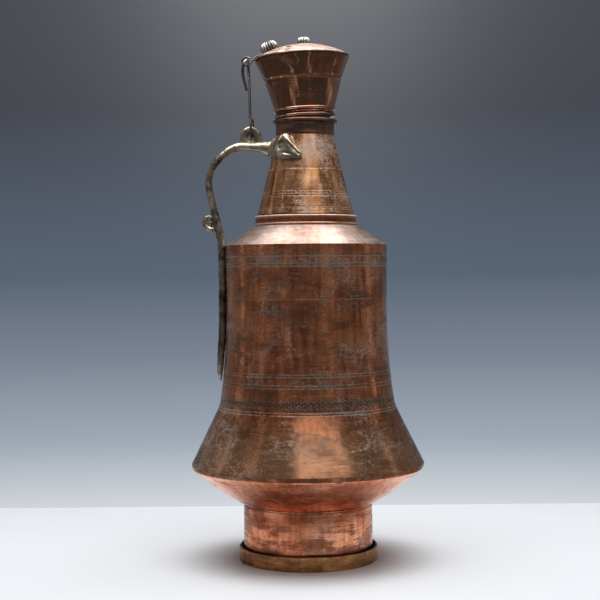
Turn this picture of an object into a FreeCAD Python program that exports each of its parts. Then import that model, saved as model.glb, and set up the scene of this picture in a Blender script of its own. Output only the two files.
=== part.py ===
import FreeCAD, Part
import math
import os
import re
import Sketcher

# A covered copper water jug, in millimetres: +Z up, origin on the jug's axis at the
# floor, handle towards -X.  Every sheet-metal shell is turned from its real section.
# The lid is drawn upright and then tilted on the mouth by its Placement.

SIZES = {
    "wall": 1.5,                # copper sheet
    "fit": 0.1,                 # solder gap between two shells
    "band_radius": 81.0,        # split hoop round the foot
    "band_wall": 2.5,
    "band_top": 17.0,
    "band_floor": 2.0,          # the hoop's inward flange, under the foot
    "foot_radius": 75.7,
    "foot_top": 66.6,
    "base_height": 12.0,
    "tuck": 8.0,                # depth of a soldered lap
    "pan_curve": 324.0,         # gentle bulge of the lower pan
    "edge_radius": 136.3,       # the widest edge
    "edge_bottom": 108.0,
    "edge_top": 113.5,
    "flare_radius": 106.0,
    "flare_top": 175.0,
    "waist_radius": 101.7,
    "waist_height": 189.0,
    "waist_curve": 46.0,
    "bell_radius": 94.5,
    "bell_straight": 290.0,     # above this the bell is a cylinder
    "bell_curve": 711.0,
    "shoulder_edge": 368.0,
    "shoulder_top": 391.5,
    "shoulder_flat": 60.5,
    "shoulder_mouth": 54.0,
    "collar_radius": 59.2,
    "collar_lip": 60.3,
    "collar_top": 402.5,
    "neck_foot": 56.0,
    "neck_bottom": 405.0,
    "neck_radius": 32.8,
    "neck_top": 497.0,
    "mouth_top": 511.0,
    "mouth_collar": 34.4,
    "bead_radius": 38.4,
    "bead_height": 4.0,
    "bead_curve": 2.1,
    "sleeve_radius": 29.6,      # the lid's plug
    "sleeve_bottom": 502.5,
    "lid_bottom": 515.4,
    "lid_ring": 36.5,
    "lid_ring_top": 527.0,
    "lid_neck": 35.5,
    "ridge_radius": 44.9,
    "ridge_height": 559.5,
    "rim_radius": 55.3,
    "rim_height": 585.0,
    "crown_height": 601.5,
    "crown_curve": 112.0,
    "lid_tilt": 2.4,            # degrees, towards the handle
    "stud_radius": 2.0,
    "rove_radius": 5.0,
    "knob_radius": 8.4,
    "knob_height": 8.5,
    "boss_radius": 10.5,
    "boss_height": 9.5,
    "boss_offset": 39.0,
    "boss_slope": 20.4,         # degrees, square to the crown at the boss
    "strap_wall": 1.6,
    "strap_width": 7.0,
    "eye_offset": 64.1,
    "eye_height": 585.2,
    "eye_bore": 3.2,
    "wire_radius": 1.3,
    "lug_offset": 63.5,
    "lug_height": 495.0,
    "lug_bore": 3.2,
    "lug_radius": 13.0,
    "lug_wall": 6.0,
    "lug_foot": 487.6,          # a tenon's depth below the top of the arm
    "arm_thick": 8.4,
    "arm_wide": 14.0,
    "arm_gap": 0.3,
    "scroll_radius": 8.0,
    "scroll_offset": 113.0,
    "scroll_height": 396.0,
    "saddle_wall": 5.5,
    "saddle_bottom": 466.5,
    "saddle_top": 496.5,
    "saddle_turn": 200.0,       # degrees of the neck that the clasp reaches round
    "rivet_radius": 1.8,
    "rivet_bore": 1.85,
    "rivet_head": 3.6,
    "rivet_angle": 48.0,
    "rivet_height": 481.0,
}

X_AXIS = FreeCAD.Vector(1, 0, 0)
Y_AXIS = FreeCAD.Vector(0, 1, 0)
Z_AXIS = FreeCAD.Vector(0, 0, 1)

DRILL_LENGTH = 40.0

document = FreeCAD.newDocument("water_jug")
sheet = document.addObject("Spreadsheet::Sheet", "Sheet")
nodes = []


def fill_sheet():
    for row, (alias, size) in enumerate(SIZES.items(), start=1):
        sheet.set(f"A{row}", alias)
        sheet.set(f"B{row}", str(size))
        sheet.setAlias(f"B{row}", alias)
    document.recompute()


def on_sheet(text):
    """An expression with the sheet's name before each alias."""
    return re.sub(r"[a-z_]+", lambda word: "Sheet." + word.group(), str(text))


def size_of(text):
    return float(sheet.evalExpression(on_sheet(text)))


def is_bound(text):
    return re.search("[a-z]", str(text)) is not None


def keep(item, label):
    """Name a finished sub-part and list it for export."""
    item.Label = label
    nodes.append(item)
    return item


# ---- sketches ----

def new_sketch(body, role, name):
    plane = [item for item in body.Origin.OriginFeatures if item.Role == role][0]
    sketch = body.newObject("Sketcher::SketchObject", name)
    sketch.AttachmentSupport = [(plane, "")]
    sketch.MapMode = "FlatFace"
    return sketch


def set_size(sketch, constraint, text):
    number = sketch.addConstraint(constraint)
    if is_bound(text):
        sketch.setExpression(f"Constraints[{number}]", on_sheet(text))


def pin_point(sketch, edge, end, corner):
    """Hold one end of an edge at its place on the sheet."""
    for kind, text, axis in (("DistanceX", corner[0], -2), ("DistanceY", corner[1], -1)):
        size = size_of(text)
        if abs(size) < 1e-9:
            sketch.addConstraint(Sketcher.Constraint("PointOnObject", edge, end, axis))
        else:
            set_size(sketch, Sketcher.Constraint(kind, -1, 1, edge, end, size), text)


def bent_edge(start, end, bend):
    """Arc that leaves start turning left (bend > 0) or right (bend < 0)."""
    chord = end - start
    rise = abs(bend) - math.sqrt(bend * bend - chord.Length * chord.Length / 4)
    right = FreeCAD.Vector(chord.y, -chord.x, 0).normalize()
    middle = (start + end) / 2 + right * math.copysign(rise, bend)
    return Part.Arc(start, middle, end) if bend > 0 else Part.Arc(end, middle, start)


def bend_of(corner):
    return size_of(corner[2]) if len(corner) == 3 else 0.0


def draw_outline(sketch, corners):
    """Closed outline of (x, y) corners; a third value bends the edge that leaves it."""
    places = [FreeCAD.Vector(size_of(corner[0]), size_of(corner[1]), 0) for corner in corners]
    first = sketch.GeometryCount
    count = len(corners)
    for index, corner in enumerate(corners):
        start, end, bend = places[index], places[(index + 1) % count], bend_of(corner)
        edge = bent_edge(start, end, bend) if bend else Part.LineSegment(start, end)
        sketch.addGeometry(edge)
    for index, corner in enumerate(corners):
        following = (index + 1) % count
        own_start, own_end = (2, 1) if bend_of(corner) < 0 else (1, 2)
        next_start = 2 if bend_of(corners[following]) < 0 else 1
        sketch.addConstraint(Sketcher.Constraint(
            "Coincident", first + index, own_end, first + following, next_start))
        pin_point(sketch, first + index, own_start, corner)
        if len(corner) == 3:
            radius = Sketcher.Constraint("Radius", first + index, abs(bend_of(corner)))
            set_size(sketch, radius, str(corner[2]).lstrip("-"))


# ---- kinds of sub-part ----

def new_body(label):
    return document.addObject("PartDesign::Body", label)


def lathe(label, corners, turn=360.0):
    """Body turned about Z from a section of (radius, height) corners."""
    body = new_body(label)
    sketch = new_sketch(body, "XZ_Plane", label + "_section")
    draw_outline(sketch, corners)
    solid = body.newObject("PartDesign::Revolution", label + "_turned")
    solid.Profile = sketch
    solid.ReferenceAxis = (sketch, ["V_Axis"])
    solid.Angle = turn
    solid.Midplane = turn < 360.0
    document.recompute()
    return body


def plate(label, corners, width):
    """Body cut from a flat outline in the XZ plane, its width centred on the plane."""
    body = new_body(label)
    sketch = new_sketch(body, "XZ_Plane", label + "_outline")
    draw_outline(sketch, corners)
    solid = body.newObject("PartDesign::Pad", label + "_pad")
    solid.Profile = sketch
    solid.Midplane = True
    solid.setExpression("Length", on_sheet(width))
    document.recompute()
    return body


def cross_pin(label, radius, width, x_text, z_text):
    """Round pin along Y, used as material or as a drill."""
    pin = document.addObject("Part::Cylinder", label)
    pin.setExpression("Radius", on_sheet(radius))
    pin.setExpression("Height", on_sheet(width))
    pin.Placement = FreeCAD.Placement(
        FreeCAD.Vector(size_of(x_text), size_of(width) / 2, size_of(z_text)),
        FreeCAD.Rotation(X_AXIS, 90))
    return pin


def drill(label, place, radius):
    """Long round tool along the local Z of a Placement."""
    tool = document.addObject("Part::Cylinder", label)
    tool.setExpression("Radius", on_sheet(radius))
    tool.Height = DRILL_LENGTH
    middle = FreeCAD.Placement(Z_AXIS * (-DRILL_LENGTH / 2), FreeCAD.Rotation())
    tool.Placement = place.multiply(middle)
    return tool


def cut(label, base, tool):
    item = document.addObject("Part::Cut", label)
    item.Base = base
    item.Tool = tool
    return item


def drill_rivets(label, base):
    """Clear the holes for the two saddle rivets."""
    for side in (-1, 1):
        base = cut(label + "_drilled", base, drill("rivet_drill", rivet_place(side), "rivet_bore"))
    return base


def fuse(label, pieces):
    item = document.addObject("Part::MultiFuse", label)
    item.Shapes = pieces
    item.Refine = True
    return item


def rounded_path(points, bends):
    """Straight runs joined by tangent arcs; bends gives each inner corner's radius."""
    edges = []
    start = points[0]
    for before, corner, after, bend in zip(points, points[1:], points[2:], bends):
        inward = (before - corner).normalize()
        outward = (after - corner).normalize()
        half_turn = (math.pi - inward.getAngle(outward)) / 2
        reach = bend * math.tan(half_turn)
        entry = corner + inward * reach
        leave = corner + outward * reach
        middle_way = (inward + outward).normalize()
        middle = corner + middle_way * (bend / math.cos(half_turn) - bend)
        edges.append(Part.LineSegment(start, entry).toShape())
        edges.append(Part.Arc(entry, middle, leave).toShape())
        start = leave
    edges.append(Part.LineSegment(start, points[-1]).toShape())
    return Part.Wire(edges)


def swept(label, path, across, along_y):
    """Rod of elliptical section along a path: half sizes across and along Y."""
    heading = path.Edges[0].tangentAt(path.Edges[0].FirstParameter)
    side = heading.cross(Y_AXIS).normalize()
    centre = path.Edges[0].firstVertex().Point
    if along_y > across:
        section = Part.Ellipse(centre + Y_AXIS * along_y, centre + side * across, centre)
    else:
        section = Part.Circle(centre, heading, across)
    pipe = path.makePipeShell([Part.Wire([section.toShape()])], True, True)
    rod = document.addObject("Part::Feature", label)
    rod.Shape = pipe
    rod.Placement = FreeCAD.Placement()
    return rod


# ---- foot and body ----

def build_foot():
    band = lathe("foot_band", [
        ("foot_radius - 4", 0), ("band_radius", 0), ("band_radius", "band_top"),
        ("band_radius - band_wall", "band_top"), ("band_radius - band_wall", "band_floor"),
        ("foot_radius - 4", "band_floor")], turn=359.4)
    joint_angle = FreeCAD.Rotation(Z_AXIS, 20.8)
    band.Placement = FreeCAD.Placement(FreeCAD.Vector(), joint_angle)
    keep(band, "foot_band")
    keep(lathe("foot_ring", [
        ("foot_radius - wall", "band_floor"), ("foot_radius", "band_floor"),
        ("foot_radius", "foot_top"), ("foot_radius - wall", "foot_top")]), "foot_ring")
    keep(lathe("base_disc", [
        (0, "base_height"), ("foot_radius - 2 * wall - fit", "base_height"),
        ("foot_radius - 2 * wall - fit", "base_height - tuck"),
        ("foot_radius - wall - fit", "base_height - tuck"),
        ("foot_radius - wall - fit", "base_height + wall"),
        (0, "base_height + wall")]), "base_disc")


def build_shells():
    keep(lathe("lower_pan", [
        ("foot_radius - 2 * wall - fit", "foot_top - tuck"),
        ("foot_radius - wall - fit", "foot_top - tuck"),
        ("foot_radius - wall - fit", "foot_top"),
        ("foot_radius + 0.3", "foot_top", "pan_curve"),
        ("edge_radius - wall - fit", "edge_bottom"),
        ("edge_radius - wall - fit", "edge_top - 2"),
        ("edge_radius - 2 * wall - fit", "edge_top - 2"),
        ("edge_radius - 2 * wall - fit", "edge_bottom + 1", "-(pan_curve - wall)"),
        ("foot_radius - 2 * wall - fit", "foot_top + 1")]), "lower_pan")
    keep(lathe("body_bell", [
        ("edge_radius", "edge_bottom"), ("edge_radius", "edge_top"),
        ("flare_radius", "flare_top", "-waist_curve"),
        ("waist_radius", "waist_height", "-bell_curve"),
        ("bell_radius", "bell_straight"), ("bell_radius", "shoulder_edge"),
        ("bell_radius - wall", "shoulder_edge"),
        ("bell_radius - wall", "bell_straight", "bell_curve + wall"),
        ("waist_radius - wall", "waist_height", "waist_curve + wall"),
        ("flare_radius - wall * 1.1", "flare_top - 0.4"),
        ("edge_radius - wall", "edge_top - 0.6"),
        ("edge_radius - wall", "edge_bottom")]), "body_bell")
    keep(lathe("shoulder_cone", [
        ("bell_radius - 2 * wall - fit", "shoulder_edge - tuck"),
        ("bell_radius - wall - fit", "shoulder_edge - tuck"),
        ("bell_radius - wall - fit", "shoulder_edge"), ("bell_radius", "shoulder_edge"),
        ("shoulder_flat", "shoulder_top"), ("shoulder_mouth", "shoulder_top"),
        ("shoulder_mouth", "shoulder_top - wall"),
        ("shoulder_flat", "shoulder_top - wall - 0.2"),
        ("bell_radius - 2 * wall - fit", "shoulder_edge")]), "shoulder_cone")


def build_neck():
    keep(lathe("neck_base_collar", [
        ("shoulder_mouth", "shoulder_top"), ("collar_lip", "shoulder_top"),
        ("collar_lip", "shoulder_top + 2"), ("collar_radius", "shoulder_top + 3"),
        ("collar_radius", "collar_top - 3"), ("collar_lip", "collar_top - 2"),
        ("collar_lip", "collar_top"), ("shoulder_mouth", "collar_top"),
        ("shoulder_mouth", "collar_top - wall"), ("collar_radius - wall", "collar_top - 3"),
        ("collar_radius - wall", "shoulder_top + 3"),
        ("shoulder_mouth", "shoulder_top + wall")]), "neck_base_collar")
    neck = lathe("neck_sheet", [
        ("neck_foot - wall", "collar_top"), ("neck_foot + 1", "collar_top"),
        ("neck_foot", "neck_bottom"), ("neck_radius", "neck_top"),
        ("neck_radius", "mouth_top"), ("neck_radius - wall", "mouth_top"),
        ("neck_radius - wall", "neck_top - 0.4"),
        ("neck_foot - wall * 1.04", "neck_bottom")])
    keep(drill_rivets("neck", neck), "neck_cone")
    keep(lathe("mouth_collar", [
        ("neck_radius + fit", "neck_top"), ("mouth_collar", "neck_top"),
        ("mouth_collar", "mouth_top"), ("neck_radius + fit", "mouth_top")]), "mouth_collar")
    keep(lathe("mouth_bead", [
        ("neck_radius - wall", "mouth_top"),
        ("bead_radius - bead_height / 2", "mouth_top", "bead_curve"),
        ("bead_radius - bead_height / 2", "mouth_top + bead_height"),
        ("neck_radius - wall", "mouth_top + bead_height")]), "mouth_bead")


# ---- handle ----

def neck_slope():
    """Lean of the neck's wall from upright, in degrees."""
    run = size_of("neck_foot - neck_radius")
    return math.degrees(math.atan(run / size_of("neck_top - neck_bottom")))


def rivet_place(side):
    """Placement on the neck's wall, local Z pointing out through the saddle."""
    lean = math.radians(neck_slope())
    climb = size_of("rivet_height - neck_bottom")
    reach = size_of("neck_foot") - climb * math.tan(lean)
    spin = FreeCAD.Rotation(Z_AXIS, 180 + side * size_of("rivet_angle"))
    tip = FreeCAD.Rotation(Y_AXIS, 90 - neck_slope())
    wall_point = spin.multVec(FreeCAD.Vector(reach, 0, size_of("rivet_height")))
    return FreeCAD.Placement(wall_point, spin.multiply(tip))


def build_saddle():
    """Animal-head clasp: a leaf of metal round the neck, trimmed to a head's outline."""
    lean = math.tan(math.radians(neck_slope()))
    inner = "neck_foot + 0.15 - {lean} * ({level} - neck_bottom)"
    low = inner.format(lean=round(lean, 5), level="saddle_bottom")
    high = inner.format(lean=round(lean, 5), level="saddle_top")
    body = lathe("saddle", [
        (low, "saddle_bottom"), (low + " + saddle_wall", "saddle_bottom"),
        (high + " + saddle_wall", "saddle_top"), (high, "saddle_top")],
        turn=size_of("saddle_turn"))
    trim = new_sketch(body, "XZ_Plane", "head_outline")
    draw_outline(trim, [
        (-30, "saddle_bottom - 5"), (80, "saddle_bottom - 5"),
        (80, "saddle_top + 5"), (-30, "saddle_top + 5")])
    draw_outline(trim, [
        (7, "saddle_bottom + 0.5"), (70, "saddle_bottom + 3"), (70, "saddle_top - 3"),
        (38, "saddle_top - 3"), (26, "saddle_top - 0.2"), (14, "saddle_top - 0.5"),
        (18, "saddle_top - 10"), (6.5, "saddle_bottom + 8")])
    pocket = body.newObject("PartDesign::Pocket", "head_trim")
    pocket.Profile = trim
    pocket.Type = "ThroughAll"
    pocket.Midplane = True
    document.recompute()
    body.Placement = FreeCAD.Placement(FreeCAD.Vector(), FreeCAD.Rotation(Z_AXIS, 180))
    return body


def arm_points():
    """Centreline from the saddle over the finger gap and down beside the bell."""
    beside = size_of("bell_radius + arm_gap + arm_thick / 2")
    swell = size_of("(bell_straight - 252) * (bell_straight - 252) / 2 / bell_curve")
    tip_swell = size_of("(bell_straight - 212) * (bell_straight - 212) / 2 / bell_curve")
    route = [
        (40.0, 483.2), (90.0, 486.5), (110.5, 467.5), (115.4, 440.5), (106.5, 402.0),
        (beside, 366.0), (beside, 290.0), (beside + swell, 252.0),
        (beside + tip_swell, 212.0)]
    return [FreeCAD.Vector(-x, 0, z) for x, z in route]


def build_handle():
    arm = swept("arm", rounded_path(arm_points(), [30, 22, 40, 60, 120, 300, 400]),
                size_of("arm_thick") / 2, size_of("arm_wide") / 2)
    scroll = cross_pin("scroll", "scroll_radius", "arm_wide - 2", "-scroll_offset", "scroll_height")
    handle = drill_rivets("handle", fuse("handle_casting", [build_saddle(), arm, scroll]))
    seat = document.addObject("Part::Cone", "neck_seat")
    seat.setExpression("Radius1", on_sheet("neck_foot + fit"))
    seat.setExpression("Radius2", on_sheet("neck_radius + fit"))
    seat.setExpression("Height", on_sheet("neck_top - neck_bottom"))
    seat.Placement = FreeCAD.Placement(Z_AXIS * size_of("neck_bottom"), FreeCAD.Rotation())
    keep(cut("handle_fitted", handle, seat), "handle")


def build_lug():
    """Perforated ear on top of the arm, tenoned into it."""
    outline = [
        ("-lug_offset - lug_radius", "lug_foot"), ("-lug_offset + lug_radius", "lug_foot"),
        ("-lug_offset + lug_radius", "lug_foot + 6", "lug_radius + 0.1"),
        ("-lug_offset - lug_radius", "lug_foot + 6")]
    ear = plate("ear", outline, "lug_wall")
    hole = cross_pin("ear_hole", "lug_bore", "lug_wall * 3", "-lug_offset", "lug_height")
    keep(cut("ear_pierced", ear, hole), "handle_lug")


def build_rivets():
    """Two domed rivets, one on each side of the head, through saddle and neck wall."""
    rivet = lathe("near_rivet", [
        (0, "-wall - 1.2"), ("rivet_head - 0.4", "-wall - 1.2"),
        ("rivet_head - 0.4", "-wall - 0.2"),
        ("rivet_radius", "-wall - 0.2"), ("rivet_radius", "saddle_wall + 0.4"),
        ("rivet_head", "saddle_wall + 0.4"), ("rivet_head * 0.7", "saddle_wall + 1.9"),
        (0, "saddle_wall + 2.4")])
    rivet.Placement = rivet_place(-1)
    far_rivet = document.addObject("Part::Mirroring", "far_rivet")
    far_rivet.Source = rivet
    far_rivet.Normal = Y_AXIS
    pair = document.addObject("Part::Compound", "rivet_pair")
    pair.Links = [rivet, far_rivet]
    keep(pair, "saddle_rivets")


# ---- link ----

def build_link():
    """S of bent wire: a hook through the lid's eye and one through the handle's lug."""
    eye = lid_place().multVec(FreeCAD.Vector(-size_of("eye_offset"), 0, size_of("eye_height")))
    low = FreeCAD.Vector(-size_of("lug_offset"), 0, size_of("lug_height"))
    points = [
        eye + FreeCAD.Vector(-7, -6, -35), eye + FreeCAD.Vector(0, -6, 0),
        eye + FreeCAD.Vector(0, 6, 0), low + FreeCAD.Vector(0, -7, 0),
        low + FreeCAD.Vector(0, 7, 0), low + FreeCAD.Vector(4, 7, 28)]
    radius = size_of("wire_radius")
    keep(swept("link_wire", rounded_path(points, [2.6, 2.6, 2.6, 2.6]), radius, radius), "link")


# ---- lid ----

def lid_place():
    """Tilt about the near edge of the lid's base ring."""
    edge = FreeCAD.Vector(-size_of("lid_ring"), 0, size_of("lid_bottom"))
    turn = FreeCAD.Rotation(Y_AXIS, -size_of("lid_tilt"))
    return FreeCAD.Placement(FreeCAD.Vector(), turn, edge)


def boss_place():
    """On the crown above the strap, square to its slope; heights count from there."""
    fall = size_of("crown_curve") * (1 - math.cos(math.radians(size_of("boss_slope"))))
    seat = FreeCAD.Vector(-size_of("boss_offset"), 0, size_of("crown_height") - fall)
    return FreeCAD.Placement(seat, FreeCAD.Rotation(Y_AXIS, -size_of("boss_slope")))


def on_lid(item, label, place=None):
    item.Placement = lid_place().multiply(place) if place else lid_place()
    keep(item, label)


def build_lid_cup():
    on_lid(lathe("lid_sleeve", [
        ("sleeve_radius - wall", "sleeve_bottom"), ("sleeve_radius", "sleeve_bottom"),
        ("sleeve_radius", "lid_ring_top"), ("sleeve_radius - wall", "lid_ring_top")]), "lid_sleeve")
    on_lid(lathe("lid_base_ring", [
        ("sleeve_radius + fit", "lid_bottom"), ("lid_ring", "lid_bottom"),
        ("lid_ring", "lid_bottom + 2.8"), ("lid_ring - 1.4", "lid_bottom + 3.6"),
        ("lid_ring - 0.3", "lid_bottom + 4.6"), ("lid_ring - 0.3", "lid_bottom + 7"),
        ("lid_ring - 1.4", "lid_bottom + 8"), ("lid_ring", "lid_bottom + 9"),
        ("lid_ring", "lid_ring_top"), ("sleeve_radius + fit", "lid_ring_top")]), "lid_base_ring")
    on_lid(lathe("lid_lower_wall", [
        ("sleeve_radius - wall", "lid_ring_top"), ("lid_neck", "lid_ring_top"),
        ("ridge_radius", "ridge_height"), ("ridge_radius - wall * 1.04", "ridge_height"),
        ("lid_neck - wall * 1.04", "lid_ring_top + wall"),
        ("sleeve_radius - wall", "lid_ring_top + wall")]), "lid_lower_wall")
    on_lid(lathe("lid_upper_flare", [
        ("ridge_radius - wall", "ridge_height"), ("ridge_radius + 0.7", "ridge_height"),
        ("ridge_radius + 0.7", "ridge_height + 1.6"), ("rim_radius", "rim_height"),
        ("rim_radius - wall * 1.1", "rim_height"),
        ("ridge_radius - wall + 0.4", "ridge_height + 2.4")]), "lid_upper_flare")


def build_lid_top():
    crown = lathe("crown", [
        ("rim_radius - 3", "rim_height"), ("rim_radius + 0.5", "rim_height"),
        ("rim_radius + 0.5", "rim_height + wall", "crown_curve"),
        ("stud_radius + fit", "crown_height"),
        ("stud_radius + fit", "crown_height - wall", "-(crown_curve - wall)"),
        ("rim_radius - 3", "rim_height + 1.8")])
    hole = drill("boss_hole", boss_place(), "stud_radius + fit")
    on_lid(cut("crown_pierced", crown, hole), "lid_top")


def fluted_knob(name, radius, height, lift, stem):
    """Melon-shaped knob on a stud that runs down through the crown."""
    return lathe(name, [
        (0, f"-{stem}"), ("stud_radius", f"-{stem}"), ("stud_radius", lift),
        (f"{radius} * 0.8", lift), (radius, f"{lift} + {height} * 0.3"),
        (f"{radius} * 0.93", f"{lift} + {height} * 0.58"),
        (f"{radius} * 0.6", f"{lift} + {height} * 0.88"), (0, f"{lift} + {height}")])


def rove(name):
    """Small washer that a stud is peened over, below the crown."""
    return lathe(name, [
        ("stud_radius + fit", "-wall - 1.8"), ("rove_radius", "-wall - 1.8"),
        ("rove_radius", "-wall - 0.3"), ("stud_radius + fit", "-wall - 0.3")])


def build_lid_fittings():
    crown_place = FreeCAD.Placement(Z_AXIS * size_of("crown_height"), FreeCAD.Rotation())
    on_lid(fluted_knob("knob", "knob_radius", "knob_height", "0.3", "4"), "lid_knob", crown_place)
    on_lid(fluted_knob("boss", "boss_radius", "boss_height", "strap_wall + 0.3", "4"),
           "lid_boss", boss_place())
    roves = []
    for name, place in (("knob_rove", crown_place), ("boss_rove", boss_place())):
        washer = rove(name)
        washer.Placement = place
        roves.append(washer)
    pair = document.addObject("Part::Compound", "rove_pair")
    pair.Links = roves
    on_lid(pair, "lid_roves")


def build_strap():
    """Iron strip pinned under the boss, curled into an eye past the lid's rim."""
    slope = math.tan(math.radians(size_of("boss_slope")))
    seat = boss_place().Base
    ends = []
    for x in (-size_of("boss_offset") + 7, -size_of("eye_offset") + 2):
        ends.append((x, seat.z + 0.15 + (x - seat.x) * slope))
    (near_x, near_z), (far_x, far_z) = ends
    strip = plate("strip", [
        (far_x, far_z), (near_x, near_z),
        (near_x, f"{near_z} + strap_wall"), (far_x, f"{far_z} + strap_wall")], "strap_width")
    curl = cross_pin("curl", "eye_bore + strap_wall", "strap_width", "-eye_offset", "eye_height")
    bore = cross_pin("curl_bore", "eye_bore", "strap_width * 3", "-eye_offset", "eye_height")
    curled = cut("strap_curled", fuse("strap_blank", [strip, curl]), bore)
    hole = drill("strap_hole", boss_place(), "stud_radius + fit")
    on_lid(cut("strap_pierced", curled, hole), "lid_strap")


# ---- checks and export ----

def check_document():
    document.recompute()
    for item in document.Objects:
        if "Invalid" in item.State or "Error" in item.State:
            raise RuntimeError(f"{item.Label} failed: {item.State}")
    for item in nodes:
        if item.Shape.isNull() or not item.Shape.isValid():
            raise RuntimeError(f"{item.Label} has no valid shape")


def export_nodes():
    os.makedirs("parts", exist_ok=True)
    for item in nodes:
        item.Shape.exportStep(f"parts/{item.Label}.step")
        print(item.Label, len(item.Shape.Solids), round(item.Shape.Volume))


fill_sheet()
build_foot()
build_shells()
build_neck()
build_handle()
build_lug()
build_rivets()
build_link()
build_lid_cup()
build_lid_top()
build_lid_fittings()
build_strap()
check_document()
export_nodes()
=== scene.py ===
import math

import bpy
from mathutils import Matrix, Vector, noise
from mathutils.bvhtree import BVHTree


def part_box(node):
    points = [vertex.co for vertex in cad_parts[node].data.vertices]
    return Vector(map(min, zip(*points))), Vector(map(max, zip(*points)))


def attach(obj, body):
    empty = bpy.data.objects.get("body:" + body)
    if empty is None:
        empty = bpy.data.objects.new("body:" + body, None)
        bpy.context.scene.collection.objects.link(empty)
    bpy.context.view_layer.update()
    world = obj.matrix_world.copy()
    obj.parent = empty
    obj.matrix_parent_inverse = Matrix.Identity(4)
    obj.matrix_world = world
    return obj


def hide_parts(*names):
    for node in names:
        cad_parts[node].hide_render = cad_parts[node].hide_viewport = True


# Looks of the copper water jug.  Metres, +Z up, handle towards -X, viewer at -Y.

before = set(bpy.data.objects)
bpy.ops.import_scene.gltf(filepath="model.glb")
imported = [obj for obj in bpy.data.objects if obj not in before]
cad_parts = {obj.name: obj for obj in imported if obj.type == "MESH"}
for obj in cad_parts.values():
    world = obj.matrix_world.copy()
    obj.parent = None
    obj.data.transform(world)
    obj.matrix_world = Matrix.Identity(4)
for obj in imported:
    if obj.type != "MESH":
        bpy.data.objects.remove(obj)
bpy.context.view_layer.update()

MM = 0.001
WALL = 1.5 * MM
FRONT = math.radians(-90)

# The lid leans towards the handle: its upright frame is turned about its ring's handle-side edge.
RING_RADIUS = 36.5 * MM
RING_EDGE = Vector((-RING_RADIUS, 0, 515.4 * MM))
LID_TILT = math.radians(2.4)
LID = Matrix.Translation(RING_EDGE) @ Matrix.Rotation(-LID_TILT, 4, "Y") @ Matrix.Translation(-RING_EDGE)
UPRIGHT = Matrix.Identity(4)

# Heights in the lid's own upright frame.
RING_TOP, RIDGE, RIM, CROWN = 527 * MM, 559.5 * MM, 585 * MM, 601.5 * MM
CROWN_CURVE = 112 * MM


# ---- mesh helpers ----

def new_piece(name, points, faces, material, body, nodes, sharp=38):
    mesh = bpy.data.meshes.new(name)
    mesh.from_pydata(points, [], faces)
    mesh.validate()
    mesh.update()
    piece = bpy.data.objects.new(name, mesh)
    bpy.context.collection.objects.link(piece)
    mesh.shade_smooth()
    mesh.set_sharp_from_angle(angle=math.radians(sharp))
    mesh.materials.append(material)
    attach(piece, body)
    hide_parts(*nodes)
    return piece


def turned_mesh(outline, relief, place, segments, turn=None):
    """Points and faces of a closed (radius, height) outline turned about Z.

    relief(angle, height, index) moves a point in or out; turn opens the ring."""
    start, span = turn or (0.0, math.tau)
    closed = turn is None
    count = len(outline)
    steps = segments if closed else segments + 1
    points = []
    for step in range(steps):
        angle = start + span * step / segments
        for index, (radius, height) in enumerate(outline):
            r = radius + relief(angle, height, index)
            points.append(place @ Vector((r * math.cos(angle), r * math.sin(angle), height)))
    faces = []
    for step in range(segments):
        here = step * count
        there = ((step + 1) % steps) * count
        for index in range(count):
            after = (index + 1) % count
            faces.append((here + index, there + index, there + after, here + after))
    if not closed:
        faces.append(tuple(range(count)))
        faces.append(tuple(reversed(range((steps - 1) * count, steps * count))))
    return points, faces


def node_tree(node):
    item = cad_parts[node]
    return BVHTree.FromPolygons([v.co[:] for v in item.data.vertices],
                                [p.vertices[:] for p in item.data.polygons])


def cad_radius(tree, place, height):
    """Outer radius of a CAD shell at a height in its own upright frame."""
    start = place @ Vector((0, -0.4, height))
    way = place.to_3x3() @ Vector((0, 1, 0))
    hit = tree.ray_cast(start, way)[0]
    return None if hit is None else (place.inverted() @ hit).xy.length


def rows_between(low, high, step, extra=()):
    count = max(2, round((high - low) / step))
    rows = {round(low + (high - low) * i / count, 6) for i in range(count + 1)}
    for height, half, parts in extra:
        rows |= {round(height + half * k / parts, 6) for k in range(-parts, parts + 1)}
    return sorted(row for row in rows if low <= row <= high)


def shell_outline(node, low, high, step, place, extra):
    """Outer rows going up, read from the CAD shell, then inner rows coming down."""
    tree = node_tree(node)
    margin = 0.02 * MM
    outer = []
    for row in rows_between(low + margin, high - margin, step, extra):
        radius = cad_radius(tree, place, row)
        if radius is not None:
            outer.append((radius, row))
    inner = [(radius - WALL, row) for radius, row in outer[::-1][::6]]
    if inner[-1][1] > outer[0][1]:
        inner.append((outer[0][0] - WALL, outer[0][1]))
    return outer, inner


def shell(name, node, low, high, material, body, relief, step,
          place=UPRIGHT, extra=(), segments=320):
    """A sheet part: its outer form follows the CAD shell, moved by relief(angle, height)."""
    outer, inner = shell_outline(node, low, high, step, place, extra)
    outside = len(outer)

    def outer_relief(angle, height, index):
        return relief(angle, height) if index < outside else min(0.0, relief(angle, height))

    points, faces = turned_mesh(outer + inner, outer_relief, place, segments)
    return new_piece(name, points, faces, material, body, [node])


def ring(name, outline, material, body, node, relief, place=UPRIGHT,
         segments=240, turn=None):
    points, faces = turned_mesh(outline, relief, place, segments, turn)
    return new_piece(name, points, faces, material, body, [node])


def paint_cad(node, material):
    """A hidden CAD part that is shown as it is, with a material of this script."""
    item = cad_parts[node]
    item.data.materials.clear()
    item.data.materials.append(material)


# ---- surface relief ----

def ripple(angle, height, radius, scale, seed):
    """Smooth noise over a round surface; scale is the size of its bumps."""
    spot = Vector((radius * math.cos(angle), radius * math.sin(angle), height))
    return noise.noise(spot / scale + Vector((seed, seed * 0.7, -seed)))


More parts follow.
